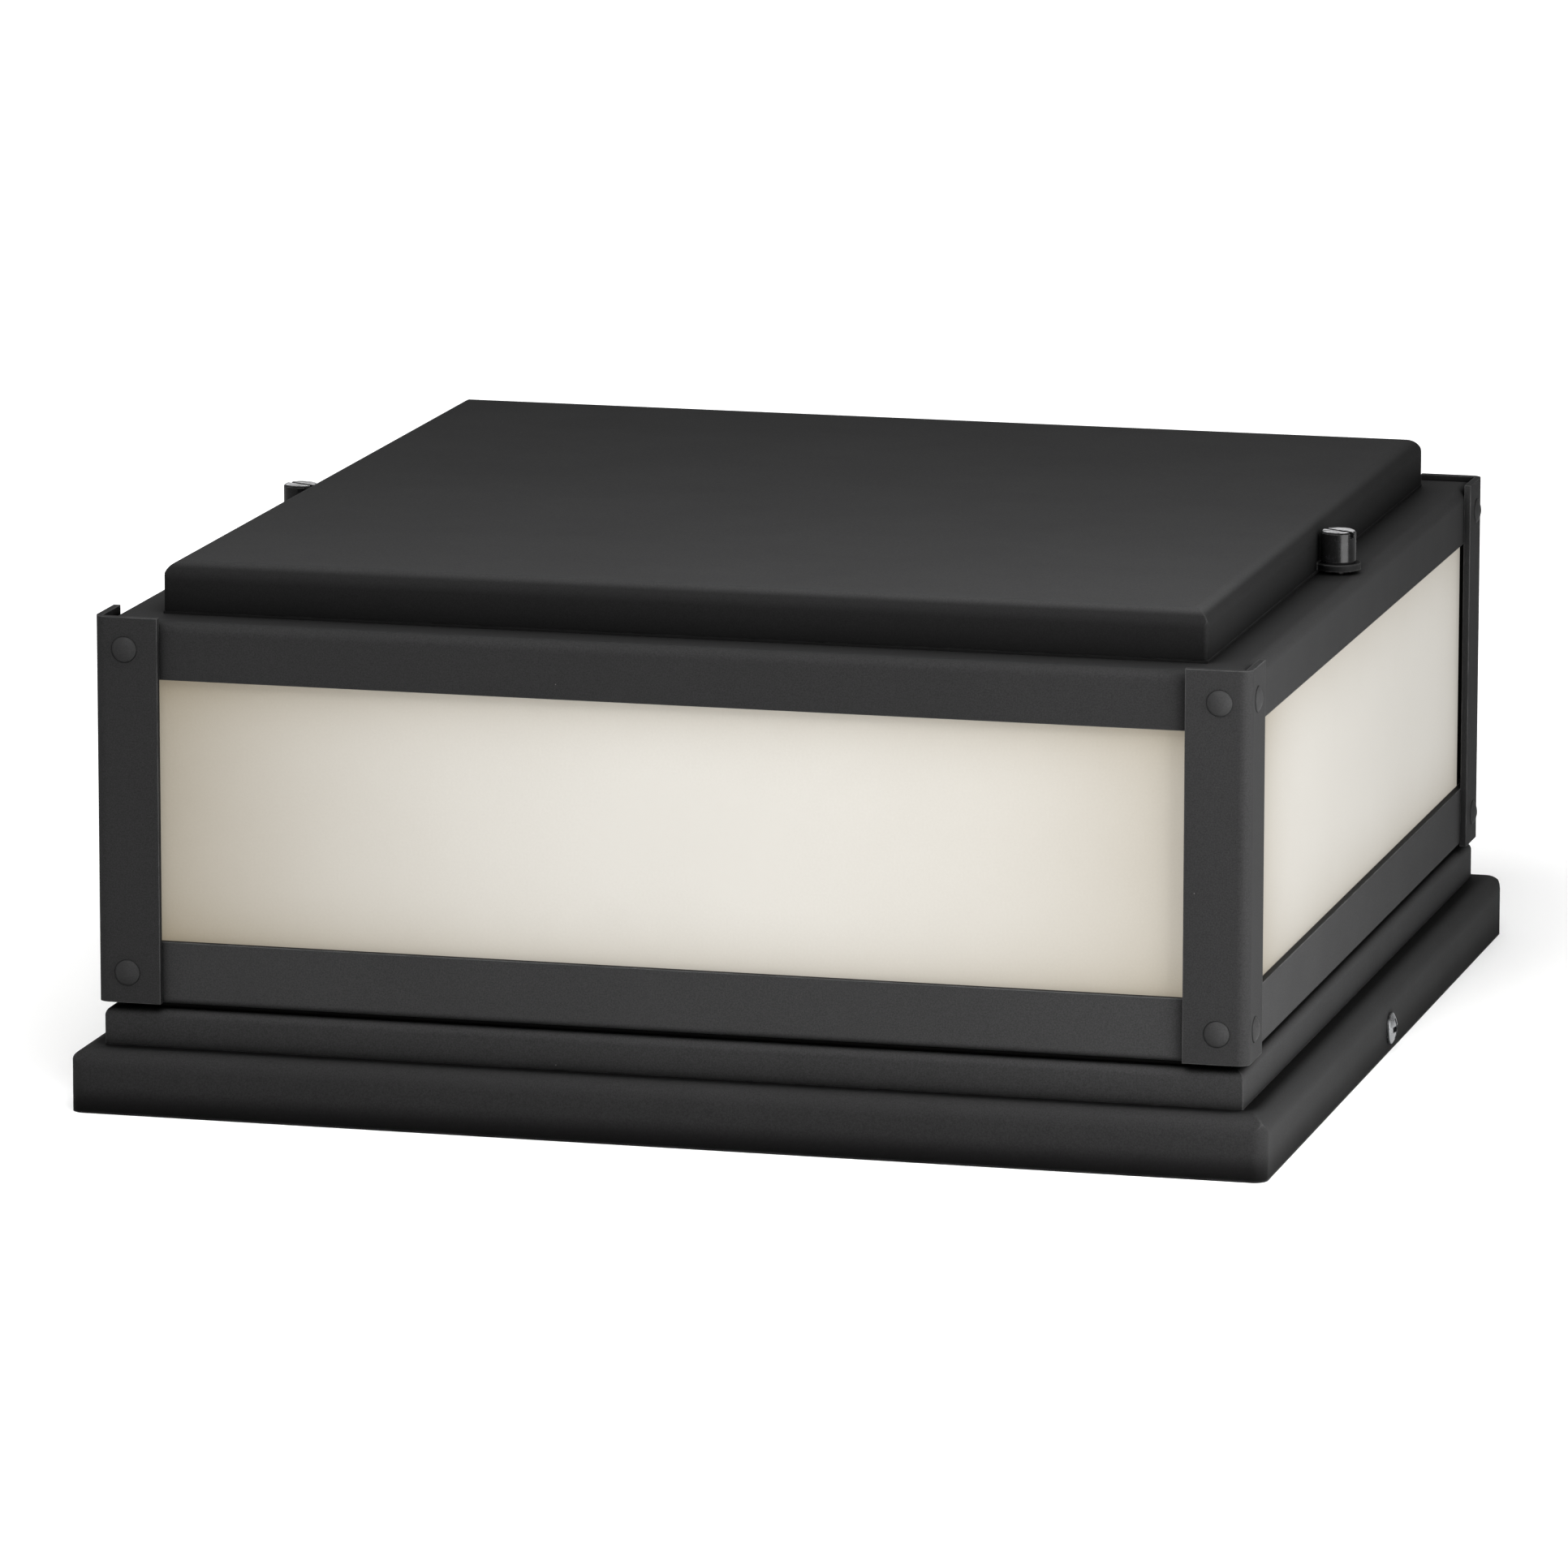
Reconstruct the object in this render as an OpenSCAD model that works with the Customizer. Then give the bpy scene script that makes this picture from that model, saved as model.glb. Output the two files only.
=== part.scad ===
// Square post cap light: a folded black housing with four etched panes, riveted
// corner angles, a lift-off lid held by two thumb screws, and one plug-in lamp.
// Millimetres, +Z up, front face towards -Y, origin under the middle of the base rim.

/* [Base] */
// Width of the square base rim
base_w = 210; // [200:1:240]
// Height of the base rim
base_h = 11.2; // [9:0.1:16]
// Sheet thickness of the base
base_sheet = 1.5; // [1:0.1:2]
// Outer radius of the bend round the top of the base
base_bend_r = 3.2; // [1.8:0.1:4]
// Plan radius of the upright corners of the base
base_corner_r = 2.4; // [0.5:0.1:4]
// How far the step tray stands in from the base rim
step_inset = 5; // [3:0.5:8]
// Height of the step tray
step_h = 6.7; // [4:0.1:12]
// Outer radius of the bend round the top of the step
step_bend_r = 1.6; // [1.3:0.1:3]

/* [Frame] */
// How far the corner angles stand out past the step tray
body_overhang = 1; // [0.5:0.1:2]
// Sheet thickness of the step, frames, angles and lid
sheet = 1.2; // [0.8:0.1:1.25]
// Thickness of the flat seat between the step and the lower frame
seat_t = 0.9; // [0.5:0.1:1.5]
// How far the seat stands in from the lower rail
seat_inset = 2.4; // [1:0.1:4]
// Height of the lower rail
lower_rail_h = 10.9; // [9:0.1:16]
// Height of the window between the rails
window_h = 45.7; // [35:0.1:70]
// Height of the upper rail
upper_rail_h = 10; // [9:0.1:14]
// Width of the flange that the lower rail turns in
lower_flange_w = 12; // [11:0.1:16]
// Width of the ledge round the top opening
ledge_w = 14.8; // [14.6:0.1:18]
// Height of the collar round the top opening
collar_h = 5; // [3:0.1:5.5]
// Outer radius of the bend round the ledge
ledge_bend_r = 2; // [1.3:0.1:2.2]

/* [Corner angles] */
// Width of each leg of a corner angle
angle_leg = 11.3; // [10:0.1:16]
// Outer radius of the bend of a corner angle
angle_bend_r = 2; // [0.5:0.1:2.4]
// Gap between the step and the lower end of an angle
angle_gap = 1; // [0.1:0.1:1.5]
// How far an angle stands above the ledge
angle_rise = 0.8; // [0.2:0.1:1.5]
// Diameter of a rivet head
rivet_head_d = 4.6; // [3.5:0.1:5.5]
// Height of a rivet head
rivet_head_h = 0.8; // [0.6:0.1:2]
// Diameter of a rivet shank
rivet_d = 2.4; // [2:0.1:3]
// Distance from a rivet to the edge of its leg and to the rail's outer edge
rivet_inset = 5.4; // [4.8:0.1:5.8]

/* [Panes] */
// Thickness of a glass pane
pane_t = 3; // [2:0.1:3.2]
// Height of a pane hidden behind the upper rail
pane_lap = 3.6; // [2:0.1:4]
// Thickness of the soft pads under a pane
pad_t = 1; // [0.5:0.1:2]
// Thickness of an inner pane retainer
retainer_t = 1; // [0.6:0.1:1.5]
// Width of each leg of a retainer
retainer_leg = 9.2; // [8:0.1:12]

/* [Lid] */
// Gap between the collar and the inside of the lid
collar_gap = 4.1; // [3.2:0.1:4.3]
// Height of the lid
lid_h = 8.6; // [7:0.1:14]
// Outer radius of the bend round the top of the lid
lid_bend_r = 3; // [1.4:0.1:4]
// Plan radius of the upright corners of the lid
lid_corner_r = 0.8; // [0.3:0.1:2]
// Thickness of the seal under the lid
gasket_t = 0.4; // [0.3:0.1:2]
// Width of the seal under the lid
gasket_w = 3; // [2:0.1:3.5]
// Radius of the rounded end of a lid ear
ear_r = 4; // [3.6:0.1:4.2]
// Width of the neck that carries a lid ear
ear_neck_w = 5; // [4:0.1:7]

/* [Thumb screws] */
// Diameter of a thumb screw's head
knob_d = 6.2; // [5:0.1:6.3]
// Height of a thumb screw's head
knob_h = 5.3; // [3:0.1:7]
// Width of the slot across a thumb screw's head
knob_slot_w = 1.1; // [0.8:0.1:1.4]
// Direction of the slot across a thumb screw's head when it is tight
knob_slot_turn = -28; // [-90:1:90]
// Thread diameter of the thumb screws, assembly screws and side screws
thread_d = 3; // [2.5:0.1:3]
// Length of thread that a thumb screw has in its insert
thread_grip = 4.8; // [3:0.1:5]
// Thickness of the washer under a thumb screw's head
washer_t = 0.3; // [0.2:0.1:1]

/* [Post fixing] */
// Width of the strap that is screwed on the post
strap_w = 50; // [44:1:80]
// Thickness of the strap
strap_t = 2; // [1.9:0.1:2.2]
// Outer radius of the bends at the strap's ends
strap_bend_r = 2.8; // [2.4:0.1:4]
// Spacing of the strap's post screw holes along the strap
strap_hole_x = 160; // [120:1:180]
// Spacing of the strap's post screw holes across the strap
strap_hole_y = 30; // [24:1:36]
// Diameter of the strap's post screw holes
strap_hole_d = 4.5; // [4:0.1:6]
// Diameter of the countersink round a post screw hole
strap_sink_d = 7.5; // [6.5:0.1:8]
// Diameter of the wire hole in the middle of the strap
strap_wire_d = 20; // [18:1:24]
// Height of the side screws above the rim
side_screw_z = 4.2; // [3.6:0.1:5]
// Diameter of a side screw's head
side_head_d = 5.5; // [5:0.1:6.5]
// Height of a side screw's head
side_head_h = 1.3; // [0.8:0.1:2.4]
// Length of a side screw under its head
side_screw_len = 8; // [6:0.5:9]

/* [Lamp] */
// Outer diameter of the threaded nipple
nipple_d = 9.8; // [8:0.1:12]
// Bore of the threaded nipple
nipple_bore_d = 6.6; // [5:0.1:7]
// Bore of the bushing where the supply cable comes in
bushing_bore_d = 5; // [4:0.1:5.6]
// Width across the flats of the nipple's nuts
nipple_nut_af = 14; // [12:0.5:17]
// Height of the lamp bracket's shelf above the floor
shelf_h = 16; // [14:0.1:24]
// Width of the lamp bracket
bracket_w = 20; // [18:0.5:30]
// Diameter of the lamp socket
socket_d = 12; // [11.5:0.1:14]
// Height of the lamp socket above the shelf
socket_top_h = 8; // [6:0.1:14]
// Depth of the lamp socket below the shelf
socket_low_h = 6; // [5.4:0.1:7]
// Diameter of the lamp's bulb
lamp_d = 10; // [8:0.1:14]
// Length of the lamp above its socket
lamp_h = 24; // [18:0.1:28]
// Width of the lamp's wedge foot
wedge_w = 8; // [7:0.1:8.5]
// Thickness of the lamp's wedge foot
wedge_t = 2.6; // [2:0.1:3]
// Length of the lamp's wedge foot
wedge_h = 9; // [6:0.1:10]
// Diameter of the two lamp leads over their cover
lead_d = 1.8; // [1.2:0.1:2]

/* [Hidden] */
$fn = 64;

// Small clearances between pieces
fit_gap = 0.05;
play = 0.2;
// How far a cut runs past the surface it opens
over = 1;

// Levels from the rim upward
base_under = base_h - base_sheet;
floor_z = base_h + step_h;
frame_z = floor_z + seat_t;
lower_top = frame_z + lower_rail_h;
window_top = lower_top + window_h;
ledge_z = window_top + upper_rail_h;
lid_z = ledge_z + gasket_t;
angle_z = floor_z + angle_gap;
angle_top = ledge_z + angle_rise;

// Plan sizes from the outside inward
step_w = base_w - 2 * step_inset;
body_w = step_w + 2 * body_overhang;
frame_w = body_w - 2 * sheet;
web_in = frame_w / 2 - sheet;
upper_open = frame_w - 2 * ledge_w;
collar_w = upper_open + 2 * sheet;
lid_w = collar_w + 2 * collar_gap + 2 * sheet;
lower_open = frame_w - 2 * lower_flange_w;
pane_out = web_in - play;
pane_in = pane_out - pane_t;
pane_z = frame_z + sheet + pad_t;
pane_top = window_top + pane_lap;
retainer_out = pane_in - play;
retainer_in = retainer_out - retainer_t;

// Corner rivets
rivet_spread = 0.6;
rivet_lift = 0.6;
rivet_tail_d = rivet_d + 2 * rivet_spread;
rivet_tail_h = 1;
rivet_grip = 2 * sheet;
rivet_pos = body_w / 2 - rivet_inset;
rivet_low_z = frame_z + rivet_inset;
rivet_high_z = ledge_z - rivet_inset + rivet_lift;
pane_side_gap = 0.5;
pane_w = 2 * (rivet_pos - rivet_tail_d / 2 - pane_side_gap);

// Pads under the panes
pad_len = 12;
pad_pos = pane_w / 3;

// Screws that hold the retainers, lower frame, step and base together
frame_head_d = 5.6;
frame_head_h = 2;
frame_head_gap = 0.9;
frame_screw_pos = retainer_in - frame_head_d / 2 - frame_head_gap;
frame_slot_w = 0.8;
frame_slot_depth = 1;
frame_nut_af = 5.5;
frame_nut_h = 1.8;
foot_len = 10.2;
spacer_d = 7;
thread_play = 0.1;
hole_play = 0.3;
screw_clear_d = thread_d + hole_play;
screw_core_d = thread_d - thread_play;

// Lid ears and thumb screws
knob_gap = 0.2;
knob_pos = lid_w / 2 + knob_d / 2 + knob_gap;
ear_lift = 0.2;
ear_z = lid_z + ear_lift;
ear_top = ear_z + sheet;
knob_z = ear_top + washer_t;
knob_top = knob_z + knob_h;
knob_slot_depth = 1.2;
knob_chamfer = 0.35;
washer_d = knob_d - 0.4;
knob_tip_z = ledge_z - thread_grip;
insert_flange_d = 6;
insert_d = 5.4;
insert_neck_d = 4.5;
insert_spare = 0.8;
insert_low_z = knob_tip_z - insert_spare;
insert_flange_h = 1.2;

// Strap on the post
strap_len = base_w - 2 * base_sheet - 2 * play;
strap_z = base_under - strap_t;
strap_tab_z = 1.2;
strap_sink_h = (strap_sink_d - strap_hole_d) / 2;

// Head of a side screw: a low dome with a cross recess
side_dome_d = side_head_d + 1.2;
cross_len = 3.6;
cross_w = 1;
cross_depth = 0.8;

// Nipple, nuts and bushing
nut_h = 3;
bushing_flange_h = 1;
bushing_flange_d = nipple_d;
bushing_sleeve_h = 4;
nipple_end = 0.5;
nipple_z = base_under - nut_h - nipple_end;
nipple_top = floor_z + sheet + nut_h + 2 * nipple_end;
nipple_hole_d = nipple_d + 2 * play;

// Lamp bracket and socket
shelf_top = floor_z + shelf_h;
bracket_back = 12;
bracket_front = 10;
socket_hole_d = socket_d + 2 * play;
socket_flange_w = 2;
socket_flange_d = socket_d + 2 * socket_flange_w;
socket_flange_h = 1.5;
socket_low = shelf_top - socket_low_h;
socket_top = shelf_top + socket_top_h;
contact_t = 0.3;
contact_w = 3;
lamp_z = socket_top;
lamp_collar_h = 6;
lamp_wall = 0.8;
globe_seat_h = 1;

// Terminal block and the two leads to it
lead_x = 4;
lead_bend_r = 3;
block_w = 18;
block_len = 12;
block_h = 10;
block_y = -18;
block_hole_z = floor_z + block_h / 2;
lead_clear = 0.3;
block_bore_d = lead_d + 2 * lead_clear;
lead_rise = 2;
lead_reach = 2;
lead_hidden = 5;
lead_high_z = socket_low + lead_rise;
lead_turn_y = -socket_d / 2 - lead_reach;
terminal_d = 2.4;
terminal_sink = 1;
terminal_y = block_len / 4;
block_head_d = 2 * lead_x - terminal_d - 1;
block_head_h = 1.6;

// ---- shared shapes ----

// Outline of a folded sheet seen from the side: straight walls, rounded upper bends
module bend_profile(w, h, r) {
    translate([-w / 2, 0]) square([w, h - r]);
    translate([-w / 2 + r, 0]) square([w - 2 * r, h]);
    for (side = [-1, 1]) translate([side * (w / 2 - r), h - r]) circle(r);
}

// Plan outline of a square with rounded corners
module rounded_plan(w, r) {
    square([w, w - 2 * r], center = true);
    square([w - 2 * r, w], center = true);
    for (sx = [-1, 1], sy = [-1, 1]) translate([sx * (w / 2 - r), sy * (w / 2 - r)]) circle(r);
}

// Square block with a bend of radius r round its top
module bent_block(w, h, r) {
    intersection() {
        translate([0, w / 2, 0]) rotate([90, 0, 0]) linear_extrude(w) bend_profile(w, h, r);
        rotate([90, 0, 90]) translate([0, 0, -w / 2]) linear_extrude(w) bend_profile(w, h, r);
    }
}

// The same block with rounded upright corners
module bent_round_block(w, h, r, corner_r) {
    intersection() {
        bent_block(w, h, r);
        linear_extrude(h) rounded_plan(w, corner_r);
    }
}

module square_block(w, h) {
    translate([-w / 2, -w / 2, 0]) cube([w, w, h]);
}

module ring_tube(d, bore, h) {
    difference() {
        cylinder(d = d, h = h);
        translate([0, 0, -over]) cylinder(d = bore, h = h + 2 * over);
    }
}

module hex_nut(af, bore, h) {
    difference() {
        cylinder(d = af / cos(30), h = h, $fn = 6);
        translate([0, 0, -over]) cylinder(d = bore, h = h + 2 * over);
    }
}

// Copies its children at the four corners of a square
module at_corners(p) {
    for (sx = [-1, 1], sy = [-1, 1]) translate([sx * p, sy * p, 0]) children();
}

// Domed head, flat side down
module dome(d, h) {
    ball_r = (d * d / 4 + h * h) / (2 * h);
    rotate_extrude() intersection() {
        translate([0, h - ball_r]) circle(ball_r);
        square([d / 2, h]);
    }
}

// Copies its children at each rivet, with +Z pointing out of the leg that it holds
module at_rivets(leg_face) {
    for (turn = [0:90:270], side = [-1, 1], z = [rivet_low_z, rivet_high_z])
        rotate([0, 0, turn]) translate([side * rivet_pos, -leg_face, z]) rotate([90, 0, 0]) children();
}

module rivet_holes() {
    at_rivets(body_w / 2) translate([0, 0, -rivet_grip - over])
        cylinder(d = rivet_d + 2 * fit_gap, h = rivet_grip + 2 * over);
}

module frame_screw_holes(z0, z1) {
    at_corners(frame_screw_pos) translate([0, 0, z0]) cylinder(d = screw_clear_d, h = z1 - z0);
}

// ---- base ----

module base_plate() {
    color("#1b1b1b") difference() {
        bent_round_block(base_w, base_h, base_bend_r, base_corner_r);
        translate([0, 0, -over])
            bent_block(base_w - 2 * base_sheet, base_under + over, base_bend_r - base_sheet);
        frame_screw_holes(0, base_h + over);
        cylinder(d = nipple_hole_d, h = base_h + over);
        for (turn = [0, 180]) rotate([0, 0, turn])
            translate([base_w / 2 - base_sheet - over, 0, side_screw_z])
                rotate([0, 90, 0]) cylinder(d = screw_clear_d, h = base_sheet + 2 * over);
    }
}

module step_tray() {
    color("#1d1d1d") translate([0, 0, base_h]) difference() {
        bent_block(step_w, step_h, step_bend_r);
        translate([0, 0, -over]) bent_block(step_w - 2 * sheet, step_h - sheet + over, step_bend_r - sheet);
        frame_screw_holes(0, step_h + over);
        cylinder(d = nipple_hole_d, h = step_h + over);
        translate([0, block_y - block_len / 2, 0])
            cylinder(d = screw_core_d + 2 * fit_gap, h = step_h + over);
    }
}

// ---- frames and corner angles ----

module frame_seat() {
    color("#141414") translate([0, 0, floor_z]) difference() {
        square_block(frame_w - 2 * seat_inset, seat_t);
        translate([0, 0, -over]) square_block(lower_open, seat_t + 2 * over);
        frame_screw_holes(-over, seat_t + over);
    }
}

module lower_frame() {
    color("#1e1e1e") difference() {
        translate([0, 0, lower_top]) mirror([0, 0, 1]) bent_block(frame_w, lower_rail_h, sheet);
        translate([0, 0, frame_z + sheet]) square_block(frame_w - 2 * sheet, lower_rail_h);
        translate([0, 0, frame_z - over]) square_block(lower_open, lower_rail_h);
        rivet_holes();
        frame_screw_holes(frame_z - over, frame_z + sheet + over);
    }
}

module upper_frame() {
    color("#1e1e1e") difference() {
        union() {
            translate([0, 0, window_top]) bent_block(frame_w, upper_rail_h, ledge_bend_r);
            translate([0, 0, ledge_z - sheet]) square_block(collar_w, sheet + collar_h);
        }
        translate([0, 0, window_top - over])
            bent_block(frame_w - 2 * sheet, upper_rail_h - sheet + over, ledge_bend_r - sheet);
        translate([0, 0, window_top]) square_block(upper_open, upper_rail_h + collar_h + over);
        rivet_holes();
        for (side = [-1, 1]) translate([side * knob_pos, 0, window_top])
            cylinder(d = insert_neck_d + 2 * fit_gap, h = upper_rail_h + over);
    }
}

// Corner angle in its own corner at the front left; the others are turned from it
module corner_angle(turn) {
    color("#202020") rotate([0, 0, turn]) difference() {
        translate([-body_w / 2, -body_w / 2, angle_z]) linear_extrude(angle_top - angle_z) difference() {
            union() {
                translate([angle_bend_r, 0]) square([angle_leg - angle_bend_r, angle_leg]);
                translate([0, angle_bend_r]) square([angle_leg, angle_leg - angle_bend_r]);
                translate([angle_bend_r, angle_bend_r]) circle(angle_bend_r);
            }
            translate([sheet, sheet]) square(angle_leg);
        }
        rivet_holes();
    }
}

module angle_front_left() { corner_angle(0); }

module angle_front_right() { corner_angle(90); }

module angle_back_right() { corner_angle(180); }

module angle_back_left() { corner_angle(270); }

module corner_rivets() {
    color("#262626") at_rivets(body_w / 2) union() {
        dome(rivet_head_d, rivet_head_h);
        translate([0, 0, -rivet_grip]) cylinder(d = rivet_d, h = rivet_grip);
        translate([0, 0, -rivet_grip - rivet_tail_h]) cylinder(d = rivet_tail_d, h = rivet_tail_h);
    }
}

// ---- panes ----

module pane(turn) {
    color("#e8e1d2") rotate([0, 0, turn]) translate([-pane_w / 2, -pane_out, pane_z])
        cube([pane_w, pane_t, pane_top - pane_z]);
}

module pane_front() { pane(0); }

module pane_right() { pane(90); }

module pane_back() { pane(180); }

module pane_left() { pane(270); }

module pane_pads() {
    color("#3a3a3a") for (turn = [0:90:270], side = [-1, 1]) rotate([0, 0, turn])
        translate([side * pad_pos - pad_len / 2, -pane_out, frame_z + sheet]) cube([pad_len, pane_t, pad_t]);
}

// Inner angle that backs two panes, with a foot under its screw
module retainer(turn) {
    foot_z = frame_z + sheet;
    color("#8f9296") rotate([0, 0, turn]) difference() {
        translate([-retainer_out, -retainer_out, foot_z]) union() {
            cube([retainer_leg, retainer_t, ledge_z - sheet - foot_z]);
            cube([retainer_t, retainer_leg, ledge_z - sheet - foot_z]);
            cube([foot_len, foot_len, retainer_t]);
        }
        frame_screw_holes(foot_z - over, foot_z + retainer_t + over);
    }
}

module retainer_front_left() { retainer(0); }

module retainer_front_right() { retainer(90); }

module retainer_back_right() { retainer(180); }

module retainer_back_left() { retainer(270); }

// ---- assembly screws ----

module frame_screws() {
    seat_z = frame_z + sheet + retainer_t;
    tip_z = base_under - frame_nut_h;
    color("#b4b6b8") at_corners(frame_screw_pos) difference() {
        union() {
            translate([0, 0, seat_z]) dome(frame_head_d, frame_head_h);
            translate([0, 0, tip_z]) cylinder(d = screw_core_d, h = seat_z - tip_z);
        }
        translate([-frame_head_d / 2, -frame_slot_w / 2, seat_z + frame_head_h - frame_slot_depth])
            cube([frame_head_d, frame_slot_w, frame_slot_depth + over]);
    }
}

module frame_nuts() {
    color("#b4b6b8") at_corners(frame_screw_pos) translate([0, 0, base_under - frame_nut_h])
        hex_nut(frame_nut_af, screw_core_d + 2 * fit_gap, frame_nut_h);
}

module frame_spacers() {
    color("#9a9da0") at_corners(frame_screw_pos) translate([0, 0, base_h])
        ring_tube(spacer_d, screw_clear_d, step_h - sheet);
}

// ---- lid ----

module lid_ear() {
    translate([0, 0, ear_z]) linear_extrude(sheet) {
        translate([lid_w / 2 - sheet, -ear_neck_w / 2]) square([knob_pos - lid_w / 2 + sheet, ear_neck_w]);
        translate([knob_pos, 0]) circle(ear_r);
    }
}

module lid() {
    color("#1c1c1c") difference() {
        union() {
            translate([0, 0, lid_z]) bent_round_block(lid_w, lid_h, lid_bend_r, lid_corner_r);
            for (turn = [0, 180]) rotate([0, 0, turn]) lid_ear();
        }
        translate([0, 0, lid_z - over])
            bent_block(lid_w - 2 * sheet, lid_h - sheet + over, lid_bend_r - sheet);
        for (side = [-1, 1]) translate([side * knob_pos, 0, lid_z]) cylinder(d = screw_clear_d, h = lid_h);
    }
}

module lid_gasket() {
    color("#141414") translate([0, 0, ledge_z]) difference() {
        square_block(lid_w, gasket_t);
        translate([0, 0, -over]) square_block(lid_w - 2 * gasket_w, gasket_t + 2 * over);
    }
}

module thread_inserts() {
    color("#c9a24b") for (side = [-1, 1]) translate([side * knob_pos, 0, 0]) difference() {
        union() {
            translate([0, 0, insert_low_z]) cylinder(d = insert_d, h = ledge_z - sheet - insert_low_z);
            translate([0, 0, ledge_z - sheet - insert_flange_h])
                cylinder(d = insert_flange_d, h = insert_flange_h);
            translate([0, 0, ledge_z - sheet - over]) cylinder(d = insert_neck_d, h = sheet + over);
        }
        translate([0, 0, insert_low_z - over])
            cylinder(d = thread_d, h = ledge_z - insert_low_z + 2 * over);
    }
}

// ---- thumb screws ----

module thumb_screw(side) {
    color("#0b0b0b") translate([side * knob_pos, 0, 0]) difference() {
        rotate_extrude() polygon([
            [0, knob_tip_z],
            [screw_core_d / 2, knob_tip_z],
            [screw_core_d / 2, knob_z],
            [knob_d / 2, knob_z],
            [knob_d / 2, knob_top - knob_chamfer],
            [knob_d / 2 - knob_chamfer, knob_top],
            [0, knob_top]
        ]);
        rotate([0, 0, knob_slot_turn]) translate([-knob_d, -knob_slot_w / 2, knob_top - knob_slot_depth])
            cube([2 * knob_d, knob_slot_w, knob_slot_depth + over]);
    }
}

module thumb_screw_left() { thumb_screw(-1); }

module thumb_screw_right() { thumb_screw(1); }

module thumb_washer(side) {
    color("#dcdcd4") translate([side * knob_pos, 0, ear_top])
        ring_tube(washer_d, screw_core_d + 2 * fit_gap, washer_t);
}

module thumb_washer_left() { thumb_washer(-1); }

module thumb_washer_right() { thumb_washer(1); }

// ---- post fixing ----

module mounting_strap() {
    color("#aeb0b2") difference() {
        translate([0, strap_w / 2, strap_tab_z]) rotate([90, 0, 0])
            linear_extrude(strap_w) bend_profile(strap_len, base_under - strap_tab_z, strap_bend_r);
        translate([0, strap_w / 2 + over, strap_tab_z - over]) rotate([90, 0, 0])
            linear_extrude(strap_w + 2 * over)
                bend_profile(strap_len - 2 * strap_t, strap_z - strap_tab_z + over, strap_bend_r - strap_t);
        translate([0, 0, strap_z - over]) cylinder(d = strap_wire_d, h = strap_t + 2 * over);
        for (sx = [-1, 1], sy = [-1, 1]) translate([sx * strap_hole_x / 2, sy * strap_hole_y / 2, 0]) {
            translate([0, 0, strap_z - over]) cylinder(d = strap_hole_d, h = strap_t + 2 * over);
            translate([0, 0, base_under - strap_sink_h])
                cylinder(d1 = strap_hole_d, d2 = strap_sink_d + 2 * over, h = strap_sink_h + over);
        }
        translate([-strap_len / 2 - over, 0, side_screw_z]) rotate([0, 90, 0])
            cylinder(d = screw_core_d + 2 * fit_gap, h = strap_len + 2 * over);
    }
}

module side_screws() {
    color("#d6d8da") for (turn = [0, 180]) rotate([0, 0, turn]) translate([base_w / 2, 0, side_screw_z])
        rotate([0, 90, 0]) difference() {
            union() {
                intersection() {
                    dome(side_dome_d, side_head_h);
                    cylinder(d = side_head_d, h = side_head_h);
                }
                translate([0, 0, -side_screw_len]) cylinder(d = screw_core_d, h = side_screw_len);
            }
            for (slot_turn = [0, 90]) rotate([0, 0, slot_turn])
                translate([-cross_len / 2, -cross_w / 2, side_head_h - cross_depth])
                    cube([cross_len, cross_w, cross_depth + over]);
        }
}

// ---- wire way and lamp ----

module nipple() {
    color("#b8923f") translate([0, 0, nipple_z]) ring_tube(nipple_d, nipple_bore_d, nipple_top - nipple_z);
}

module nipple_nuts() {
    color("#b4b6b8") for (z = [base_under - nut_h, floor_z + sheet]) translate([0, 0, z])
        hex_nut(nipple_nut_af, nipple_d + 2 * fit_gap, nut_h);
}

module wire_bushing() {
    color("#e9e7df") translate([0, 0, nipple_z - bushing_flange_h]) difference() {
        union() {
            cylinder(d = bushing_flange_d, h = bushing_flange_h);
            cylinder(d = nipple_bore_d - 2 * fit_gap, h = bushing_flange_h + bushing_sleeve_h);
        }
        translate([0, 0, -over])
            cylinder(d = bushing_bore_d, h = bushing_flange_h + bushing_sleeve_h + 2 * over);
    }
}

module lamp_bracket() {
    color("#a9abad") difference() {
        translate([-bracket_w / 2, -bracket_front, floor_z])
            cube([bracket_w, bracket_front + bracket_back + sheet, shelf_h]);
        translate([-bracket_w / 2 - over, -bracket_front - over, floor_z + sheet])
            cube([bracket_w + 2 * over, bracket_front + bracket_back + over, shelf_h - 2 * sheet]);
        translate([0, 0, floor_z - over]) cylinder(d = nipple_hole_d, h = sheet + 2 * over);
        translate([0, 0, shelf_top - sheet - over]) cylinder(d = socket_hole_d, h = sheet + 2 * over);
    }
}

module lamp_socket() {
    slot_w = wedge_w + 2 * play;
    slot_t = wedge_t + 2 * (contact_t + play);
    color("#e2ded2") difference() {
        union() {
            translate([0, 0, socket_low]) cylinder(d = socket_d, h = socket_top - socket_low);
            translate([0, 0, shelf_top]) cylinder(d = socket_flange_d, h = socket_flange_h);
        }
        translate([-slot_w / 2, -slot_t / 2, socket_top - wedge_h - play])
            cube([slot_w, slot_t, wedge_h + play + over]);
        for (side = [-1, 1]) translate([side * lead_x, 0, lead_high_z]) rotate([90, 0, 0])
            cylinder(d = lead_d + 2 * fit_gap, h = socket_d);
    }
}

module socket_contacts() {
    contact_y = wedge_t / 2 + play + contact_t / 2;
    color("#c9a24b") for (side = [-1, 1])
        translate([side * wedge_w / 4, side * contact_y, socket_top - wedge_h / 2 - play])
            cube([contact_w, contact_t, wedge_h], center = true);
}

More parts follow.
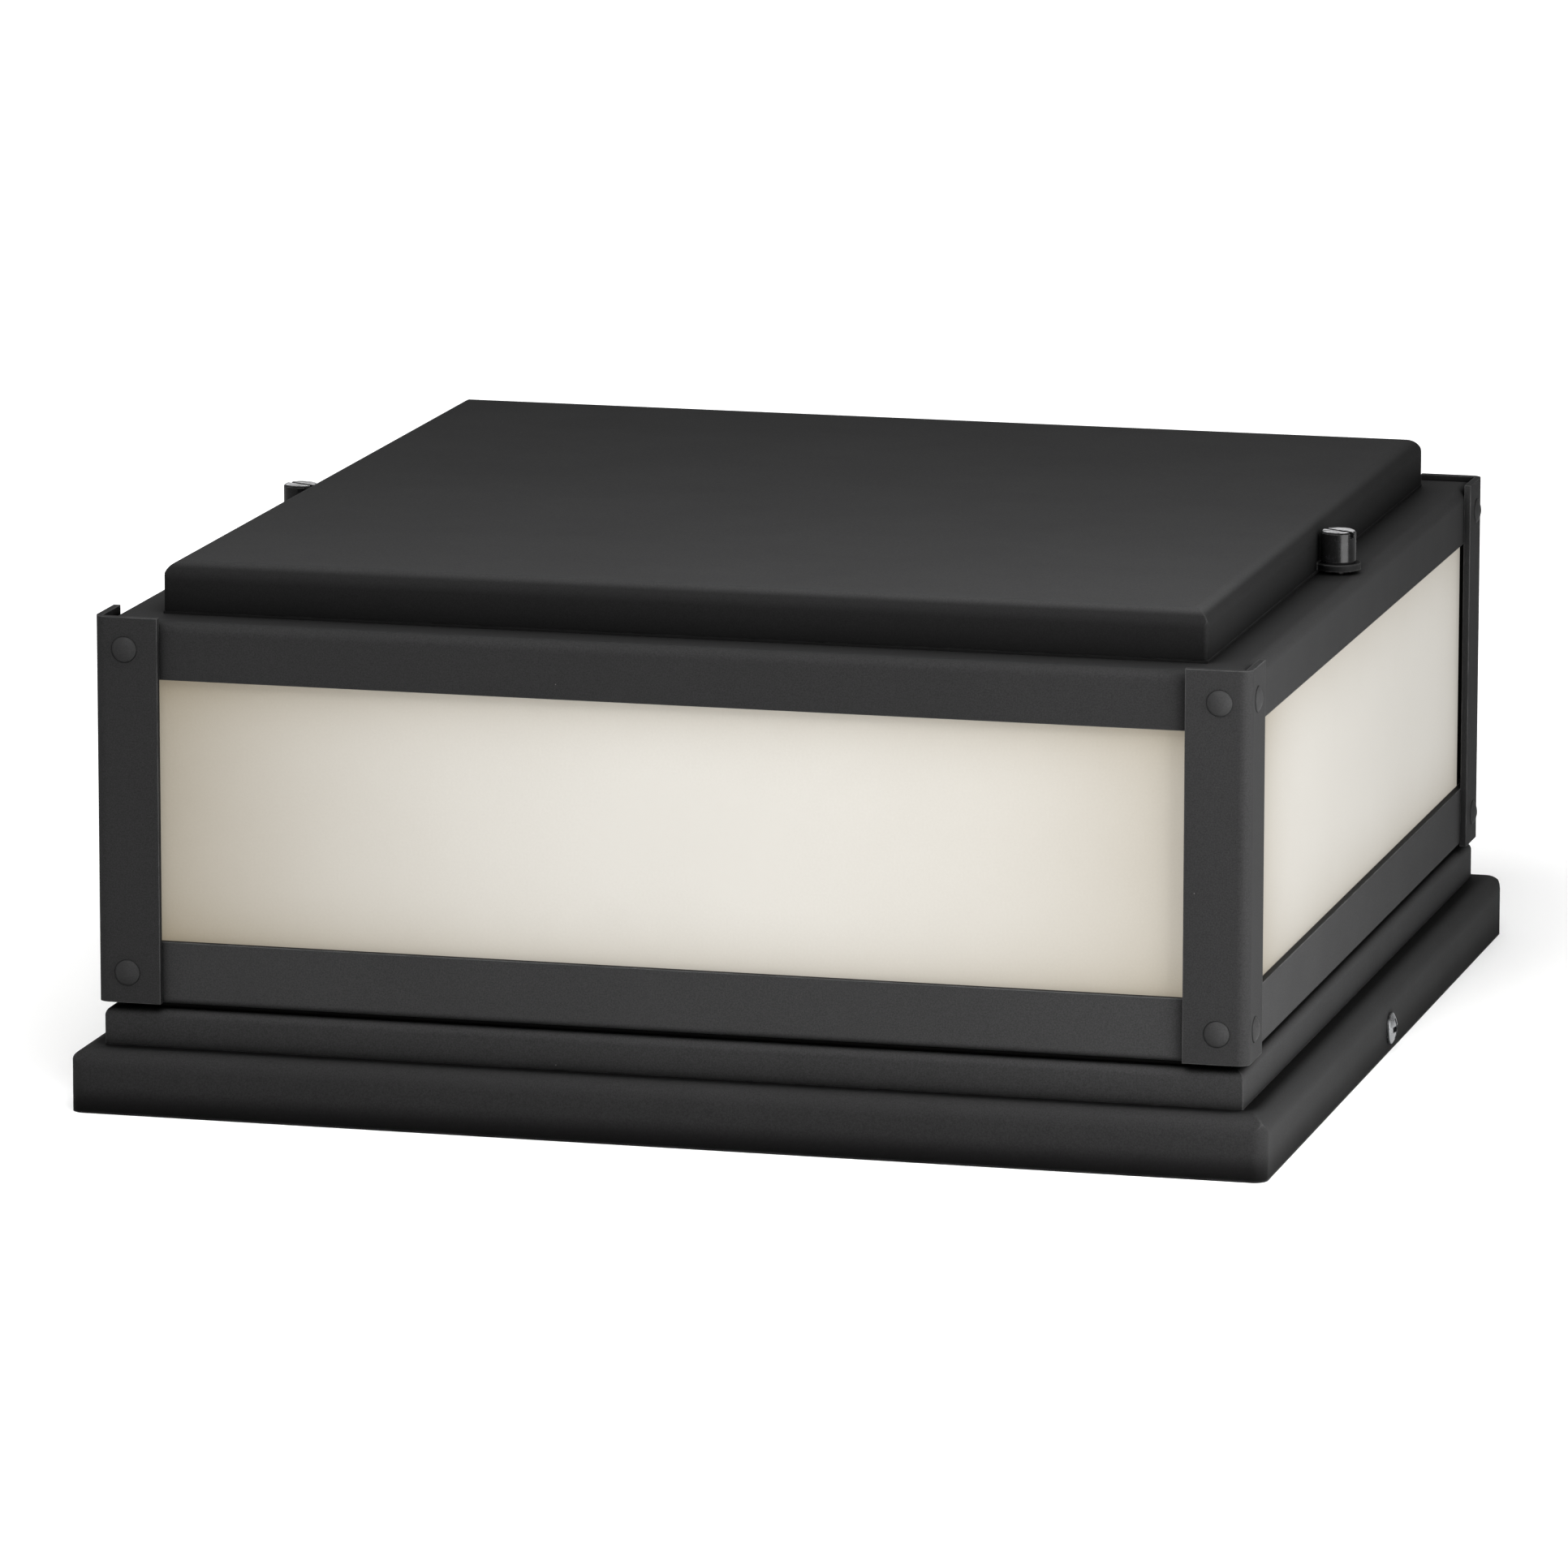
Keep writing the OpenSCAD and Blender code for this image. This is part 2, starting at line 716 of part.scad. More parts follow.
module lamp_body() {
    color("#f1efe8") difference() {
        union() {
            translate([-wedge_w / 2, -wedge_t / 2, lamp_z - wedge_h])
                cube([wedge_w, wedge_t, wedge_h + over]);
            translate([0, 0, lamp_z]) cylinder(d = lamp_d, h = lamp_collar_h);
        }
        translate([0, 0, lamp_z + lamp_collar_h - globe_seat_h])
            cylinder(d = lamp_d - 2 * lamp_wall, h = globe_seat_h + over);
    }
}

module lamp_globe() {
    bulb_d = lamp_d - 2 * lamp_wall - 2 * fit_gap;
    low_z = lamp_collar_h - globe_seat_h;
    top_z = lamp_h - bulb_d / 2;
    color("#fff6e0") translate([0, 0, lamp_z]) difference() {
        union() {
            translate([0, 0, low_z]) cylinder(d = bulb_d, h = top_z - low_z);
            translate([0, 0, top_z]) sphere(d = bulb_d);
        }
        translate([0, 0, low_z - over]) cylinder(d = bulb_d - 2 * lamp_wall, h = top_z - low_z + over);
    }
}

module terminal_block() {
    color("#d9d4c4") translate([-block_w / 2, block_y - block_len, floor_z]) difference() {
        cube([block_w, block_len, block_h]);
        for (side = [-1, 1]) translate([block_w / 2 + side * lead_x, -over, block_hole_z - floor_z]) {
            rotate([-90, 0, 0]) cylinder(d = block_bore_d, h = block_len + 2 * over);
            for (y = [terminal_y, block_len - terminal_y]) translate([0, y + over, 0])
                cylinder(d = terminal_d + 2 * fit_gap, h = block_h);
        }
        translate([block_w / 2, block_len / 2, -over]) cylinder(d = screw_clear_d, h = block_h + 2 * over);
    }
}

module terminal_screws() {
    color("#c9a24b") for (side = [-1, 1], y = [terminal_y, block_len - terminal_y])
        translate([side * lead_x, block_y - block_len + y, block_hole_z + lead_d / 2 + fit_gap])
            cylinder(d = terminal_d, h = floor_z + block_h - terminal_sink - block_hole_z - lead_d / 2);
}

module block_screw() {
    screw_len = block_h + step_h / 2;
    color("#b4b6b8") translate([0, block_y - block_len / 2, floor_z + block_h]) union() {
        dome(block_head_d, block_head_h);
        translate([0, 0, -screw_len]) cylinder(d = screw_core_d, h = screw_len);
    }
}

// One lead: out of the socket, down past the shelf and into the terminal block
module lamp_lead() {
    low_y = lead_turn_y - 2 * lead_bend_r;
    drop = lead_high_z - block_hole_z - 2 * lead_bend_r;
    translate([0, lead_turn_y, lead_high_z]) rotate([-90, 0, 0]) cylinder(d = lead_d, h = lead_hidden);
    translate([0, lead_turn_y, lead_high_z - lead_bend_r]) rotate([90, 0, -90])
        rotate_extrude(angle = 90) translate([lead_bend_r, 0]) circle(d = lead_d);
    translate([0, lead_turn_y - lead_bend_r, block_hole_z + lead_bend_r]) cylinder(d = lead_d, h = drop);
    translate([0, low_y, block_hole_z + lead_bend_r]) rotate([0, 90, 0])
        rotate_extrude(angle = 90) translate([lead_bend_r, 0]) circle(d = lead_d);
    translate([0, low_y, block_hole_z]) rotate([90, 0, 0])
        cylinder(d = lead_d, h = low_y - block_y + block_len / 2);
}

module lamp_leads() {
    color("#2a2a2a") for (side = [-1, 1]) translate([side * lead_x, 0, 0]) lamp_lead();
}

base_plate();
step_tray();
frame_seat();
lower_frame();
upper_frame();
angle_front_left();
angle_front_right();
angle_back_left();
angle_back_right();
corner_rivets();
pane_front();
pane_back();
pane_left();
pane_right();
pane_pads();
retainer_front_left();
retainer_front_right();
retainer_back_left();
retainer_back_right();
frame_screws();
frame_nuts();
frame_spacers();
lid();
lid_gasket();
thread_inserts();
thumb_screw_left();
thumb_screw_right();
thumb_washer_left();
thumb_washer_right();
mounting_strap();
side_screws();
nipple();
nipple_nuts();
wire_bushing();
lamp_bracket();
lamp_socket();
socket_contacts();
lamp_body();
lamp_globe();
terminal_block();
terminal_screws();
block_screw();
lamp_leads();
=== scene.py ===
import math

import bpy
from mathutils import Matrix, Vector


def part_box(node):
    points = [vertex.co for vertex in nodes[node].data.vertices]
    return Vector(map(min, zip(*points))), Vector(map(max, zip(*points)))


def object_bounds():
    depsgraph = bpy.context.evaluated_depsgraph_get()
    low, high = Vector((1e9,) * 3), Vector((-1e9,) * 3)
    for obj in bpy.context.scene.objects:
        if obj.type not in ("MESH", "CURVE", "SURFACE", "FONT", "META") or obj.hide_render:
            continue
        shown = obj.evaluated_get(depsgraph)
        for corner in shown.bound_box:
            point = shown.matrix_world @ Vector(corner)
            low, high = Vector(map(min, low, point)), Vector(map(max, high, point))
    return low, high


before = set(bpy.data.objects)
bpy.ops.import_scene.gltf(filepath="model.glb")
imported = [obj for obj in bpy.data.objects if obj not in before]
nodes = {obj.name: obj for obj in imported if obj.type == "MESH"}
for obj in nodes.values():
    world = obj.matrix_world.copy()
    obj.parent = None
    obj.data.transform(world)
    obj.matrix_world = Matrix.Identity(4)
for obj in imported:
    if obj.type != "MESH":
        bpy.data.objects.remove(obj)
cad_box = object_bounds()

MM = 0.001

# ---- camera: where the photograph was taken from, fitted to the corners that it shows ----

BODY_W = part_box("angle_back_right")[1].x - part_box("angle_front_left")[0].x
CAMERA_DISTANCE = 9.6345 * BODY_W
CAMERA_TURN = math.radians(14.3481)
CAMERA_RISE = math.radians(11.2879)
CAMERA_TARGET_Z = 0.2 * BODY_W
LOOK_TURN = math.radians(14.5036)
LOOK_DOWN = math.radians(11.2215)
CAMERA_ROLL = math.radians(0.0711)
FOCAL_PIXELS = 13472.35
IMAGE_PIXELS = 1932
SENSOR_MM = 36.0
CLIP_NEAR = 0.01
CLIP_FAR = 50.0


def toward(turn, rise):
    """Unit vector from the object towards a viewer at that turn from the front and that rise."""
    return Vector((math.sin(turn) * math.cos(rise), -math.cos(turn) * math.cos(rise), math.sin(rise)))


def add_camera():
    """Camera with the place, the direction and the focal length of the photograph's."""
    data = bpy.data.cameras.new("photo_camera")
    data.sensor_width = SENSOR_MM
    data.lens = FOCAL_PIXELS / IMAGE_PIXELS * SENSOR_MM
    data.clip_start = CLIP_NEAR
    data.clip_end = CLIP_FAR
    camera = bpy.data.objects.new("photo_camera", data)
    bpy.context.scene.collection.objects.link(camera)
    backward = toward(LOOK_TURN, LOOK_DOWN)
    right = Vector((0, 0, 1)).cross(backward).normalized()
    up = backward.cross(right)
    facing = Matrix((right, up, backward)).transposed().to_4x4()
    place = Vector((0, 0, CAMERA_TARGET_Z)) + CAMERA_DISTANCE * toward(CAMERA_TURN, CAMERA_RISE)
    camera.matrix_world = Matrix.Translation(place) @ facing @ Matrix.Rotation(CAMERA_ROLL, 4, "Z")
    bpy.context.scene.camera = camera


# ---- short calls for node materials: sizes are in metres ----

# Samples that the Bevel and Ambient Occlusion nodes take
EDGE_SAMPLES = 6
# Range that most of a noise's values lie in
NOISE_LOW = 0.3
NOISE_HIGH = 0.7
# How far a rounded normal leans from its face, as 1 - cosine, where an edge starts and where it is full
EDGE_STARTS = 0.01
EDGE_FULL = 0.16
# Part of a speck's radius that is at full strength
SPECK_CORE = 0.4
# Colour sockets of the Mix node
MIX_A = 6
MIX_B = 7
MIX_RESULT = 2


class Shader:
    """A new material's node tree, with short calls for the nodes that the materials here share."""

    def __init__(self, name):
        self.material = bpy.data.materials.new(name)
        self.material.use_nodes = True
        self.tree = self.material.node_tree
        self.tree.nodes.clear()
        self.output = self.node("ShaderNodeOutputMaterial")
        self.position = self.node("ShaderNodeTexCoord").outputs["Object"]

    def node(self, kind, **settings):
        made = self.tree.nodes.new(kind)
        for key, value in settings.items():
            setattr(made, key, value)
        return made

    def feed(self, socket, value):
        """Link the socket if the value is another node's output, or else set it."""
        if hasattr(value, "is_output"):
            self.tree.links.new(value, socket)
        else:
            socket.default_value = value

    def math(self, operation, a, b=0.0):
        made = self.node("ShaderNodeMath", operation=operation)
        self.feed(made.inputs[0], a)
        self.feed(made.inputs[1], b)
        return made.outputs[0]

    def noise(self, size, detail=2.0, roughness=0.5, shift=(0, 0, 0), stretch=(1, 1, 1)):
        """Noise from 0 to 1 whose lumps are about size across."""
        mapping = self.node("ShaderNodeMapping")
        mapping.inputs["Location"].default_value = shift
        mapping.inputs["Scale"].default_value = stretch
        self.feed(mapping.inputs["Vector"], self.position)
        made = self.node("ShaderNodeTexNoise")
        made.inputs["Scale"].default_value = 1.0 / size
        made.inputs["Detail"].default_value = detail
        made.inputs["Roughness"].default_value = roughness
        self.feed(made.inputs["Vector"], mapping.outputs[0])
        return made.outputs["Fac"]

    def ramp(self, value, low, high, out_low=0.0, out_high=1.0, smooth=False):
        """out_low where the value is low or beyond it, out_high where it is high, and between them."""
        made = self.node("ShaderNodeMapRange")
        made.interpolation_type = "SMOOTHSTEP" if smooth else "LINEAR"
        self.feed(made.inputs["Value"], value)
        made.inputs["From Min"].default_value = low
        made.inputs["From Max"].default_value = high
        made.inputs["To Min"].default_value = out_low
        made.inputs["To Max"].default_value = out_high
        return made.outputs["Result"]

    def vary(self, size, out_low, out_high, **shape):
        """A level that wanders between two values in lumps that are about size across."""
        return self.ramp(self.noise(size, **shape), NOISE_LOW, NOISE_HIGH, out_low, out_high)

    def mix(self, factor, a, b):
        """Colour a where the factor is 0 and colour b where it is 1."""
        made = self.node("ShaderNodeMix", data_type="RGBA")
        self.feed(made.inputs["Factor"], factor)
        self.feed(made.inputs[MIX_A], a)
        self.feed(made.inputs[MIX_B], b)
        return made.outputs[MIX_RESULT]

    def scaled(self, colour, factor):
        """A fixed colour times a varying factor."""
        made = self.node("ShaderNodeVectorMath", operation="SCALE")
        made.inputs[0].default_value = colour
        self.feed(made.inputs["Scale"], factor)
        return made.outputs[0]

    def axes(self):
        """The x, y and z of the object's own coordinates, which go with a piece when it moves."""
        made = self.node("ShaderNodeSeparateXYZ")
        self.feed(made.inputs[0], self.position)
        return made.outputs[0], made.outputs[1], made.outputs[2]

    def bump(self, height, depth, under=None):
        """Normals of a relief as deep as that, on top of the normals under it."""
        made = self.node("ShaderNodeBump")
        made.inputs["Strength"].default_value = 1.0
        made.inputs["Distance"].default_value = depth
        self.feed(made.inputs["Height"], height)
        if under is not None:
            self.feed(made.inputs["Normal"], under)
        return made.outputs[0]

    def rounded(self, radius):
        """Normals that round every edge off by that radius."""
        made = self.node("ShaderNodeBevel", samples=EDGE_SAMPLES)
        made.inputs["Radius"].default_value = radius
        return made.outputs[0]

    def edge_mask(self, rounded_normal):
        """1 on the edges that rounded() rounds off, 0 elsewhere."""
        flat = self.node("ShaderNodeNewGeometry").outputs["Normal"]
        dot = self.node("ShaderNodeVectorMath", operation="DOT_PRODUCT")
        self.feed(dot.inputs[0], rounded_normal)
        self.feed(dot.inputs[1], flat)
        return self.ramp(self.math("SUBTRACT", 1.0, dot.outputs["Value"]), EDGE_STARTS, EDGE_FULL)

    def occlusion_shade(self, reach, low, high, left):
        """Painted shade: 1 on faces that are open over that reach, falling to what is left in corners and
        gaps.
        """
        made = self.node("ShaderNodeAmbientOcclusion", samples=EDGE_SAMPLES)
        made.inputs["Distance"].default_value = reach
        return self.ramp(made.outputs["AO"], low, high, left, 1.0)

    def specks(self, cell, radius, share, shift=(0, 0, 0)):
        """Sparse round specks, 1 inside and 0 outside, in a share of the cells."""
        mapping = self.node("ShaderNodeMapping")
        mapping.inputs["Location"].default_value = shift
        self.feed(mapping.inputs["Vector"], self.position)
        made = self.node("ShaderNodeTexVoronoi")
        made.inputs["Scale"].default_value = 1.0 / cell
        self.feed(made.inputs["Vector"], mapping.outputs[0])
        dot = self.ramp(made.outputs["Distance"], radius / cell, SPECK_CORE * radius / cell)
        pick = self.node("ShaderNodeSeparateColor")
        self.feed(pick.inputs[0], made.outputs["Color"])
        return self.math("MULTIPLY", dot, self.math("LESS_THAN", pick.outputs[0], share))

    def surface(self, **inputs):
        """The finished material, with a Principled shader; names use underscores for spaces."""
        made = self.node("ShaderNodeBsdfPrincipled")
        for key, value in inputs.items():
            self.feed(made.inputs[key.replace("_", " ")], value)
        self.tree.links.new(made.outputs[0], self.output.inputs["Surface"])
        return self.material


def grey(level):
    return (level, level, level, 1)


# ---- powder coat ----

COAT_TINT = (1.0, 1.0, 1.01)
COAT_ROUGHNESS = 0.66
COAT_ROUGHNESS_SIZE = 20 * MM
COAT_ROUGHNESS_DRIFT = 0.02
COAT_SPECULAR = 0.06
# Slow mottle and powder grain: size, and how much they change the tone. Here and below, NOISE is the
# pair of noise values between which a change builds up
MOTTLE_SIZE = 30 * MM
MOTTLE_DEPTH = 0.03
GRAIN_SIZE = 0.24 * MM
GRAIN_DEPTH = 0.22
GRAIN_NOISE = (0.25, 0.75)
# Relief of the surface: slow orange peel with finer ripples on it
PEEL_SIZE = 1.6 * MM
PEEL_DEPTH = 0.005 * MM
RIPPLE_SIZE = 0.35 * MM
RIPPLE_DEPTH = 0.006 * MM
RIPPLE_SHIFT = (0.4, 0.1, 0.2)
# Painted shade in wide corners, in narrow gaps and along the base under the step: the reach, and
# how open a face is where the shade is full and where it ends. LEFT is what is left of the tone
CORNER_SHADE = (9 * MM, 0.25, 0.95)
CORNER_SHADE_LEFT = 0.10
GAP_SHADE = (2 * MM, 0.2, 0.75)
STRIP_SHADE = (5 * MM, 0.72, 0.98)
GAP_SHADE_LEFT = 0.08
# Wear and painted highlight along the edges: size of their patches, and the least of them
WEAR_HIGHLIGHT_SIZE = 4 * MM
WEAR_HIGHLIGHT_LEAST = 0.45
WEAR_HIGHLIGHT_NOISE = (0.35, 0.6)
# Dust and pits: size of a cell, radius of a speck and share of the cells that have one
DUST = (7 * MM, 0.12 * MM, 0.40)
DUST_COVER = 0.6
DUST_COLOUR = (0.16, 0.155, 0.15, 1)
PITS = (6 * MM, 0.16 * MM, 0.25)
PITS_COVER = 0.7
PITS_TONE = 0.3
PITS_SHIFT = (0.31, 0.17, 0.09)
# Painted sheen and light on the lid's top: what it multiplies the tone by at the front and at the
# back edge, and how that lift is shared between left and right
LID_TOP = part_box("lid")[1].z
LID_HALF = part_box("lid_gasket")[1].y
SHEEN_FRONT = 2.9
SHEEN_BACK = 1.8
SHEEN_LEFT = 0.8
SHEEN_RIGHT = 1.3
# Depths below the lid's top at which the painted sheen is full and at which it ends
SHEEN_FULL = 0.1 * MM
SHEEN_ENDS = 1.2 * MM


def painted_top_sheen(s):
    """Factor on the tone: painted sheen and light on the lid's top, and 1 below it."""
    x, y, z = s.axes()
    sheen_lift = s.ramp(y, -LID_HALF, LID_HALF, SHEEN_FRONT - 1, SHEEN_BACK - 1)
    sheen_lift = s.math("MULTIPLY", sheen_lift, s.ramp(x, -LID_HALF, LID_HALF, SHEEN_LEFT, SHEEN_RIGHT))
    cover = s.ramp(z, LID_TOP - SHEEN_ENDS, LID_TOP - SHEEN_FULL, smooth=True)
    return s.math("ADD", s.math("MULTIPLY", sheen_lift, cover), 1.0)


def powder_coat(name, tone, roughness=COAT_ROUGHNESS, grain=1.0, soften=0.35, edge_shading=2.6, gap_shade=GAP_SHADE,
                top_sheen=False):
    """Satin black powder coat of that tone: fine grain, worn edges with painted highlight, and painted
    shade in corners and gaps.

    grain is a factor on the powder grain, soften the radius of the edges in mm, and the edge factor
    multiplies the tone on the edges: above 1 as wear and painted highlight, below 1 as painted shade.
    The gap set is one of the painted shade sets above.
    """
    s = Shader(name)
    mottle = s.vary(MOTTLE_SIZE, 1 - MOTTLE_DEPTH, 1 + MOTTLE_DEPTH)
    depth = GRAIN_DEPTH * grain
    fine = s.ramp(s.noise(GRAIN_SIZE, detail=1.0), *GRAIN_NOISE, 1 - depth, 1 + depth)
    # Painted shade: darker in corners and gaps, from how open the surface is
    crevice_shade = s.math("MULTIPLY", s.occlusion_shade(*CORNER_SHADE, CORNER_SHADE_LEFT), s.occlusion_shade(*gap_shade, GAP_SHADE_LEFT))
    level = s.math("MULTIPLY", s.math("MULTIPLY", mottle, fine), crevice_shade)
    # Painted sheen and light: the lid's top lighter towards the front and the right
    if top_sheen:
        level = s.math("MULTIPLY", level, painted_top_sheen(s))
    base = s.scaled([tone * part for part in COAT_TINT], level)
    round_normal = s.rounded(soften * MM)
    # Edges lighter, as worn coat and painted highlight; a factor below 1 paints shade on them instead
    wear_and_highlight = s.ramp(s.noise(WEAR_HIGHLIGHT_SIZE), *WEAR_HIGHLIGHT_NOISE, out_low=WEAR_HIGHLIGHT_LEAST)
    base = s.mix(s.math("MULTIPLY", s.edge_mask(round_normal), wear_and_highlight), base, grey(tone * edge_shading))
    base = s.mix(s.math("MULTIPLY", s.specks(*DUST), DUST_COVER), base, DUST_COLOUR)
    pits = s.specks(*PITS, shift=PITS_SHIFT)
    base = s.mix(s.math("MULTIPLY", pits, PITS_COVER), base, grey(tone * PITS_TONE))
    peel = s.bump(s.noise(PEEL_SIZE), PEEL_DEPTH, under=round_normal)
    normal = s.bump(s.noise(RIPPLE_SIZE, detail=1.0, shift=RIPPLE_SHIFT), RIPPLE_DEPTH, under=peel)
    drift = COAT_ROUGHNESS_DRIFT
    rough = s.vary(COAT_ROUGHNESS_SIZE, roughness - drift, roughness + drift)
    return s.surface(Base_Color=base, Roughness=rough, Normal=normal, Specular_IOR_Level=COAT_SPECULAR)


# ---- thumb screws ----

LACQUER_DEEP = grey(0.004)
LACQUER_FADED = (0.010, 0.010, 0.011, 1)
FADE_SIZE = 1.2 * MM
FADE_NOISE = (0.5, 0.8)
LACQUER_EDGE = grey(0.10)
LACQUER_EDGE_WEAR = 0.6
LACQUER_ROUGHNESS = (0.16, 0.28)
LACQUER_ROUGHNESS_SIZE = 0.8 * MM
LACQUER_SPECULAR = 0.22
LACQUER_RELIEF_SIZE = 0.7 * MM
# The slotted end: bare metal in streaks, and the depths below it at which they are full and at which
# they end
BARE_METAL = (0.55, 0.55, 0.56, 1)
STREAK_SIZE = 1.0 * MM
STREAK_STRETCH = (0.35, 1.6, 1)
STREAK_NOISE = (0.42, 0.58)
STREAK_LEAST = 0.15
KNOB_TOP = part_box("thumb_screw_left")[1].z
END_FULL = 0.02 * MM
END_ENDS = 0.10 * MM
# Radius of the edges of small turned and stamped pieces, and the depth of their relief
SMALL_EDGE = 0.12 * MM
SMALL_RELIEF = 0.004 * MM


def gloss_black(name):
    """Smooth black lacquer that is worn to the metal in streaks on the slotted end."""
    s = Shader(name)
    faded = s.ramp(s.noise(FADE_SIZE, detail=4.0, roughness=0.7), *FADE_NOISE)
    base = s.mix(faded, LACQUER_DEEP, LACQUER_FADED)
    round_normal = s.rounded(SMALL_EDGE)
    edges = s.math("MULTIPLY", s.edge_mask(round_normal), LACQUER_EDGE_WEAR)
    base = s.mix(edges, base, LACQUER_EDGE)
    _, _, z = s.axes()
    end = s.ramp(z, KNOB_TOP - END_ENDS, KNOB_TOP - END_FULL)
    streaks = s.noise(STREAK_SIZE, detail=3.0, roughness=0.7, stretch=STREAK_STRETCH)
    streaks = s.ramp(streaks, *STREAK_NOISE, out_low=STREAK_LEAST)
    base = s.mix(s.math("MULTIPLY", end, streaks), base, BARE_METAL)
    rough = s.vary(LACQUER_ROUGHNESS_SIZE, *LACQUER_ROUGHNESS, detail=3.0)
    normal = s.bump(s.noise(LACQUER_RELIEF_SIZE), SMALL_RELIEF, under=round_normal)
    return s.surface(Base_Color=base, Roughness=rough, Normal=normal, Specular_IOR_Level=LACQUER_SPECULAR)


# ---- bare metal, plastic and rubber ----

# Metal: stains and brushed lines, with their size and the levels that they multiply the colour by
STAIN_SIZE = 6 * MM
STAIN_NOISE = (0.3, 0.75)
STAIN_LEVELS = (1.0, 0.88)
LINE_SIZE = 0.6 * MM
LINE_LEVELS = (0.94, 1.06)
METAL_ROUGHNESS_SIZE = 3 * MM
METAL_SMOOTHER = 0.06
METAL_ROUGHER = 0.08
METAL_RELIEF_SIZE = 0.4 * MM
# Painted shade in recesses, in the same terms as the powder coat's corner shade
RECESS_SHADE = (2.5 * MM, 0.3, 0.9)
RECESS_SHADE_LEFT = 0.03
# Plastic and rubber: drift of the tone, and the texture of the mould
TONE_SIZE = 8 * MM
TONE_LEVELS = (0.94, 1.04)
MOULD_ROUGHNESS_SIZE = 2 * MM
MOULD_ROUGHNESS_DRIFT = 0.05
MOULD_GRAIN = 0.25 * MM
MOULD_RELIEF = 0.008 * MM
MOULD_EDGE = 0.1 * MM


def metal(name, colour, roughness, brushed=(1, 1, 1)):
    """Bare metal with fine grain, drawn out along the axes where brushed is small, faint stains, and
    painted shade in recesses.
    """
    s = Shader(name)
    stain = s.ramp(s.noise(STAIN_SIZE, detail=4.0, roughness=0.6), *STAIN_NOISE, *STAIN_LEVELS)
    lines = s.vary(LINE_SIZE, *LINE_LEVELS, detail=3.0, roughness=0.6, stretch=brushed)
    # Painted shade: darker in recesses
    recess_shade = s.occlusion_shade(*RECESS_SHADE, RECESS_SHADE_LEFT)
    base = s.scaled(colour, s.math("MULTIPLY", s.math("MULTIPLY", stain, lines), recess_shade))
    rough = s.vary(METAL_ROUGHNESS_SIZE, roughness - METAL_SMOOTHER, roughness + METAL_ROUGHER,
                   detail=3.0, stretch=brushed)
    relief = s.noise(METAL_RELIEF_SIZE, stretch=brushed)
    normal = s.bump(relief, SMALL_RELIEF, under=s.rounded(SMALL_EDGE))
    return s.surface(Base_Color=base, Metallic=1.0, Roughness=rough, Normal=normal)


def plastic(name, colour, roughness, shine=0.4):
    """Moulded plastic or rubber with a fine mould texture and slight tone drift."""
    s = Shader(name)
    base = s.scaled(colour, s.vary(TONE_SIZE, *TONE_LEVELS, detail=3.0))
    drift = MOULD_ROUGHNESS_DRIFT
    rough = s.vary(MOULD_ROUGHNESS_SIZE, roughness - drift, roughness + drift)
    normal = s.bump(s.noise(MOULD_GRAIN), MOULD_RELIEF, under=s.rounded(MOULD_EDGE))
    return s.surface(Base_Color=base, Roughness=rough, Normal=normal, Specular_IOR_Level=shine)


# ---- glass ----

# Window that a pane shows in: half its width, and its levels
WINDOW_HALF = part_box("angle_front_right")[0].x
WINDOW_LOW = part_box("lower_frame")[1].z
WINDOW_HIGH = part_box("upper_frame")[0].z
# A pane's colour where the painted glow is dim, at this level of it and below, and where it is full
GLASS_DIM = 0.40
GLASS_WARM = (0.343, 0.291, 0.208, 1)
GLASS_BRIGHT = (0.765, 0.738, 0.681, 1)
# Clouding and etching of the panes, with the levels that they multiply the glow by
GLASS_LEVELS = (0.985, 1.015)
CLOUD_SIZE = 30 * MM
ETCH_SIZE = 0.4 * MM
ETCH_RELIEF_SIZE = 0.3 * MM
ETCH_RELIEF = 0.006 * MM
GLASS_ROUGHNESS = 0.6
GLASS_SPECULAR = 0.12
# The lamp's globe
GLOBE_COLOUR = (1.0, 0.90, 0.72)
GLOBE_LEVELS = (0.94, 1.0)
GLOBE_CLOUD_SIZE = 2 * MM
GLOBE_GLOW = 0.6
GLOBE_ROUGHNESS = 0.45
GLOBE_RELIEF = 0.005 * MM


